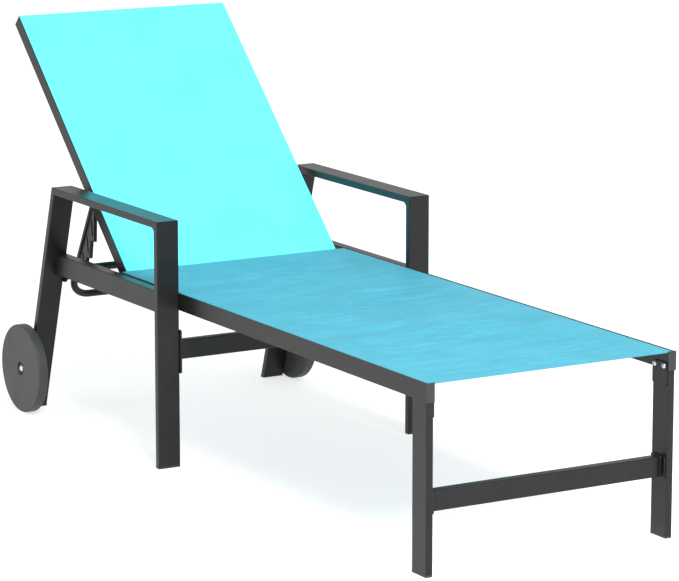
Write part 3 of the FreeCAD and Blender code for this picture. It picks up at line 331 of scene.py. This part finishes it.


# The seat's mesh colours are darker than the back's, though the cloth is one: painted shade on the flat seat.
seat_mesh_painted_shade = sling_cloth("seat_mesh_shaded_copy", "#4598ac", "#27788b")
seat_along = tucked(seat_box[0].x, seat_box[1].x, step=0.0036, ends=(False, False))
seat_across = tucked(-seat_edge, seat_edge, step=0.0056, bend=0.0016, drop=0.0019)
seat, seat_flat = cover("seat_sheet", seat_along, seat_across, seat_lift, on_seat, seat_box[1].z, CLOTH)
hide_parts("seat_sling")
outfit(seat, "frame", seat_mesh_painted_shade)

# Sewing thread: bonded polyester, twisted, and dyed near the mesh's shade.  Its plies are about
# 0.6 mm apart (1800), which gives it a slight ridge.
thread, tree, shader = surface("polyester_thread", Roughness=0.5, Base_Color=linear("#3f93a6"))
spot = add(tree, "ShaderNodeTexCoord").outputs["Object"]
ply = add(tree, "ShaderNodeTexNoise", {"Scale": 1800.0}, {"Vector": spot})
relief = add(tree, "ShaderNodeBump", {"Strength": 0.4, "Distance": 0.0002}, {"Height": ply.outputs["Fac"]})
tree.links.new(relief.outputs["Normal"], shader.inputs["Normal"])

seat_hem_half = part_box("seat_rail_left")[0].y - 0.0012  # just inside the rail
for end, edge, inward in (("foot", seat_box[1].x, -1), ("rear", seat_box[0].x, 1)):
    x = edge + inward * SEAT_HEM_IN
    hem = band(f"seat_hem_{end}", (x, seat_box[1].z - 0.0006), SEAT_HEM_WIDE, HEM_THICK, seat_hem_half,
               on_seat)
    outfit(hem, "frame", seat_mesh_painted_shade)
    seam = stitching(f"seat_seam_{end}", x + inward * SEAT_SEAM_IN, seat_box[1].z + 0.0004, seat_hem_half,
                      on_seat)
    outfit(seam, "frame", thread)

# Back sling.  The same kind of coated mesh, drawn tighter over the back frame, so it is almost
# smooth; its top is rolled over the top tube, and a narrow stitched hem closes its lower edge.  Its
# colours are lighter than the seat's, though the cloth is one: painted light on the reclined back.
BACK_LOW = -0.0090  # the sheet's lower edge, run up from the hinge
BACK_HIGH = 0.7158  # where it turns down over the top tube
BACK_FACE = 0.0163  # its outer face, off the tubes' centre plane
BACK_CLOTH = CLOTH - 0.0002
recline = next(joint for joint in frame["joints"] if joint["name"] == "backrest_recline")
hinge = np.array(recline["pos_m"])
slope = math.radians(-recline["range_deg"][0])
up_back = np.array([-math.cos(slope), 0.0, math.sin(slope)])
off_back = np.array([math.sin(slope), 0.0, math.cos(slope)])
across_back = np.array([0.0, 1.0, 0.0])
back_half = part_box("back_rail_left")[1].y
back_edge = back_half - 0.0012
back_hem_half = back_half - 0.0030


def on_back(a, b, h):
    """A place on the back: run up from the hinge, across Y, height off the tubes' centre plane."""
    return hinge + a[..., None] * up_back + b[..., None] * across_back + h[..., None] * off_back


def back_lift(a, b):
    """Very slight ripples, 0.16 mm high: two sines, 130 and 410 mm long, are multiplied, and die out
    at the tubes' outer edges."""
    short = np.sin(2 * np.pi * (a + 0.2 * b) / 0.13)
    slow = np.sin(2 * np.pi * (a - 0.3 * b) / 0.41 + 1.0)
    return 0.00016 * short * slow * (1.0 - np.abs(b / back_half) ** 5)


# The back's mesh colours are lighter than the seat's, though the cloth is one: painted light on the reclined back.
back_mesh_painted_light = sling_cloth("back_mesh_lit_copy", "#5ddbe8", "#40c2d4")
back_along = tucked(BACK_LOW, BACK_HIGH, step=0.0052, bend=0.0022, drop=0.006, ends=(False, True))
back_across = tucked(-back_edge, back_edge, step=0.0056, bend=0.0012, drop=0.0001)
back, back_flat = cover("back_sheet", back_along, back_across, back_lift, on_back, BACK_FACE, BACK_CLOTH)
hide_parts("back_sling")
outfit(back, "backrest", back_mesh_painted_light)
low_hem = band("back_hem", (-0.0040, BACK_FACE - 0.0001), 0.0100, HEM_THICK, back_hem_half, on_back)
outfit(low_hem, "backrest", back_mesh_painted_light)
low_seam = stitching("back_seam", -0.0008, BACK_FACE + 0.0009, back_hem_half, on_back)
outfit(low_seam, "backrest", thread)

# Transport wheels.  Solid discs of grey polypropylene, injection-moulded, each turning on a bolt in
# a nylon bush.  The mould's spark texture is finer than shows, so it is drawn at 1.6 mm (620); faint
# flow marks are about 45 mm apart (22).
moulded, tree, shader = surface("grey_polypropylene", Roughness=0.5, IOR=1.49, Specular_IOR_Level=0.35)
spot = add(tree, "ShaderNodeTexCoord").outputs["Object"]
spark = add(tree, "ShaderNodeTexNoise", {"Scale": 620.0, "Detail": 3.0, "Roughness": 0.7}, {"Vector": spot})
flow = add(tree, "ShaderNodeTexNoise", {"Scale": 22.0, "Detail": 3.0}, {"Vector": spot})
mixed = add(tree, "ShaderNodeMath", {1: 0.4}, {0: spark.outputs["Fac"], 2: flow.outputs["Fac"]},
            operation="MULTIPLY_ADD")
tone = add(tree, "ShaderNodeValToRGB", None, {"Fac": mixed.outputs[0]})
for stop, place, colour in zip(tone.color_ramp.elements, (0.45, 0.95), ("#303031", "#3c3c3d")):
    stop.position = place
    stop.color = linear(colour)
tree.links.new(tone.outputs["Color"], shader.inputs["Base Color"])
relief = add(tree, "ShaderNodeBump", {"Strength": 0.25, "Distance": 0.0003}, {"Height": spark.outputs["Fac"]})
tree.links.new(relief.outputs["Normal"], shader.inputs["Normal"])
coat("wheel_plastic", moulded)

# Caps, glides and splines.  Black polyethylene, moulded, pressed into the ends of the tubes; the
# nylon bushes and spacers are a little smoother and greyer.  The mould's texture is drawn at 1.4 mm
# (700), coarser than real, so that it shows.
for slot, name, light, dark, rough in (("black_plastic", "black_polyethylene", "#2b2b2c", "#1f1f20", 0.55),
                                       ("nylon", "black_nylon", "#323234", "#262627", 0.40)):
    made, tree, shader = surface(name, Roughness=rough, IOR=1.5)
    spot = add(tree, "ShaderNodeTexCoord").outputs["Object"]
    spark = add(tree, "ShaderNodeTexNoise", {"Scale": 700.0, "Detail": 3.0}, {"Vector": spot})
    tone = add(tree, "ShaderNodeValToRGB", None, {"Fac": spark.outputs["Fac"]})
    for stop, place, colour in zip(tone.color_ramp.elements, (0.3, 0.7), (dark, light)):
        stop.position = place
        stop.color = linear(colour)
    tree.links.new(tone.outputs["Color"], shader.inputs["Base Color"])
    relief = add(tree, "ShaderNodeBump", {"Strength": 0.2, "Distance": 0.0002},
                 {"Height": spark.outputs["Fac"]})
    tree.links.new(relief.outputs["Normal"], shader.inputs["Normal"])
    coat(slot, made)

# Screws, pins and axle bolts.  Steel, cold-headed and bright zinc plated, which leaves a slightly
# mottled silver with a soft shine; the mottling is about 2.4 mm (420).
zinc, tree, shader = surface("zinc_plated_steel", Metallic=1.0)
spot = add(tree, "ShaderNodeTexCoord").outputs["Object"]
spangle = add(tree, "ShaderNodeTexNoise", {"Scale": 420.0, "Detail": 4.0}, {"Vector": spot})
tone = add(tree, "ShaderNodeValToRGB", None, {"Fac": spangle.outputs["Fac"]})
for stop, colour in zip(tone.color_ramp.elements, ("#b9bbbd", "#e2e3e3")):
    stop.color = linear(colour)
tree.links.new(tone.outputs["Color"], shader.inputs["Base Color"])
gloss = add(tree, "ShaderNodeMapRange", {"To Min": 0.22, "To Max": 0.38}, {"Value": spangle.outputs["Fac"]})
tree.links.new(gloss.outputs["Result"], shader.inputs["Roughness"])
coat("zinc_steel", zinc)

# Studio.  A light grey floor that runs out of sight and glows a little, so that it shows white, an
# even surround, one large soft light from the foot end and a weak one from the near side.
scene = bpy.context.scene
scene.view_settings.view_transform = "Standard"
turn = np.linspace(0.0, 2 * np.pi, 48, endpoint=False)
reach = np.array([0.001, 2.0, 6.0, 20.0, 60.0])[:, None]
below = np.full((len(reach), len(turn)), -0.0004)
rings = np.stack([reach * np.cos(turn), reach * np.sin(turn), below], axis=-1)
floor = sheet_mesh("studio_floor", rings, loop=(False, True))
pale = surface("pale_floor_paint", Roughness=0.9, Base_Color=linear("#b2b2b2"), Specular_IOR_Level=0.1,
               Emission_Color=linear("#ffffff"), Emission_Strength=0.66)[0]
floor.data.materials.append(pale)

world = bpy.data.worlds.new("studio_surround")
scene.world = world
world.use_nodes = True
sky = world.node_tree.nodes["Background"]
sky.inputs["Color"].default_value = linear("#ffffff")
sky.inputs["Strength"].default_value = 0.8


def lamp(name, place, aim, wide, high, power):
    """A soft box: a rectangular lamp that faces the aim point."""
    data = bpy.data.lights.new(name, "AREA")
    data.shape = "RECTANGLE"
    data.size = wide
    data.size_y = high
    data.energy = power
    made = bpy.data.objects.new(name, data)
    scene.collection.objects.link(made)
    made.location = place
    way = np.array(aim) - np.array(place)
    made.rotation_euler = (math.atan2(math.hypot(way[0], way[1]), -way[2]), 0.0, math.atan2(-way[0], way[1]))


lamp("soft_box_foot", place=(4.0, -0.6, 4.2), aim=(-0.4, 0.0, 0.4), wide=2.6, high=2.6, power=520.0)
lamp("soft_box_near", place=(-1.0, -4.5, 2.4), aim=(-0.4, 0.0, 0.3), wide=2.4, high=2.0, power=40.0)

# Camera.  A long lens 1.8 m up and 7 m away, on the near side of the foot end, looking down 11
# degrees.  Its place, aim and length were fitted to the frame's parallel edges in the photograph.
view = bpy.data.cameras.new("camera")
view.lens = 183.7
view.sensor_width = 36.0
camera = bpy.data.objects.new("camera", view)
scene.collection.objects.link(camera)
camera.location = (6.12931, -3.52851, 1.77511)
camera.rotation_euler = (math.radians(90 - 11.32), 0.0, math.radians(59.66))
scene.camera = camera
